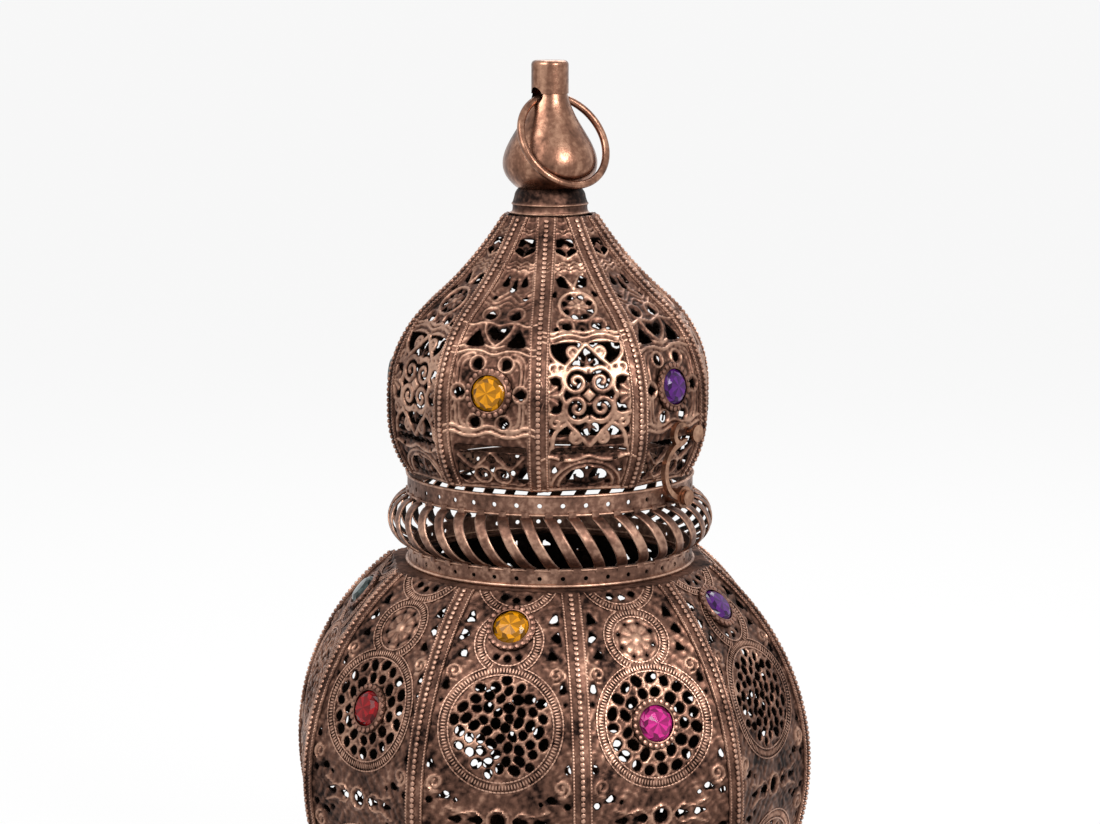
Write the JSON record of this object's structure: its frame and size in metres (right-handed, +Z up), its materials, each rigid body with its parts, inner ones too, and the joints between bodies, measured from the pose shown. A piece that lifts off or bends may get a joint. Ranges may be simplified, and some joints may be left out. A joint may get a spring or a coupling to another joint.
{
  "type": "fanous lantern",
  "caption": "Onion-domed fanous table lantern of pierced copper-look panels with coloured jewels, a slatted neck, a hinged lid with a hook latch, a carry ring and an inner tea-light cup.",
  "frame": {"origin": "on the floor under the lantern's axis", "axes": "+Z up along the lantern's axis, -Y to the latch side, +Y to the lid hinge"},
  "size_m": [0.2612, 0.2636, 0.4937],
  "materials": {
    "antique_copper": "aged copper finish, rubbed bright on raised edges",
    "turned_copper": "satin aged copper finish with dark streaks",
    "dark_copper": "dark aged copper finish",
    "dark_sheet": "dull dark inner sheet",
    "dull_steel": "dull steel",
    "gem_amber": "faceted clear acrylic",
    "gem_purple": "faceted clear acrylic",
    "gem_teal": "faceted clear acrylic",
    "gem_red": "faceted clear acrylic",
    "gem_pink": "faceted clear acrylic"
  },
  "bodies": {
    "lantern_body": {"body_bezels": "dark_copper", "body_gem_amber": "gem_amber", "body_gem_pink": "gem_pink", "body_gem_purple": "gem_purple", "body_gem_red": "gem_red", "body_gem_teal": "gem_teal", "body_panel_01": "antique_copper", "body_panel_02": "antique_copper", "body_panel_03": "antique_copper", "body_panel_04": "antique_copper", "body_panel_05": "antique_copper", "body_panel_06": "antique_copper", "body_panel_07": "antique_copper", "body_panel_08": "antique_copper", "body_panel_09": "antique_copper", "body_panel_10": "antique_copper", "body_ribs": "antique_copper", "candle_cup": "dark_sheet", "cup_rivet": "dull_steel", "floor_disc": "dark_sheet", "foot_ring": "antique_copper", "hinge_lower_leaf": "antique_copper", "hinge_pin": "dull_steel", "hook_rivet": "turned_copper", "neck_low_band": "antique_copper", "neck_slats": "antique_copper", "neck_top_band": "antique_copper"},
    "lid": {"dome_bezels": "dark_copper", "dome_collar": "turned_copper", "dome_gem_amber": "gem_amber", "dome_gem_pink": "gem_pink", "dome_gem_purple": "gem_purple", "dome_gem_red": "gem_red", "dome_gem_teal": "gem_teal", "dome_hoop": "antique_copper", "dome_panel_01": "antique_copper", "dome_panel_02": "antique_copper", "dome_panel_03": "antique_copper", "dome_panel_04": "antique_copper", "dome_panel_05": "antique_copper", "dome_panel_06": "antique_copper", "dome_panel_07": "antique_copper", "dome_panel_08": "antique_copper", "dome_panel_09": "antique_copper", "dome_panel_10": "antique_copper", "dome_ribs": "antique_copper", "finial": "turned_copper", "finial_nut": "dull_steel", "finial_washer": "dull_steel", "hinge_upper_leaf": "antique_copper", "latch_stud": "turned_copper"},
    "ring": {"carry_ring": "turned_copper"},
    "hook": {"latch_hook": "turned_copper"}
  },
  "joints": [
    {"name": "lid_hinge", "type": "hinge", "parent": "lantern_body", "child": "lid", "pos_m": [0, 0.07571, 0.2908], "axis": [-1, 0, 0], "range_deg": [0, 105]},
    {"name": "ring_swing", "type": "hinge", "parent": "lid", "child": "ring", "pos_m": [0, 0, 0.476], "axis": [-0.9659, 0.2588, 0], "range_deg": [0, 302]},
    {"name": "hook_swing", "type": "hinge", "parent": "lantern_body", "child": "hook", "pos_m": [0.0054, 0, 0.28475], "axis": [0, -1, 0], "range_deg": [-20, 60]}
  ]
}
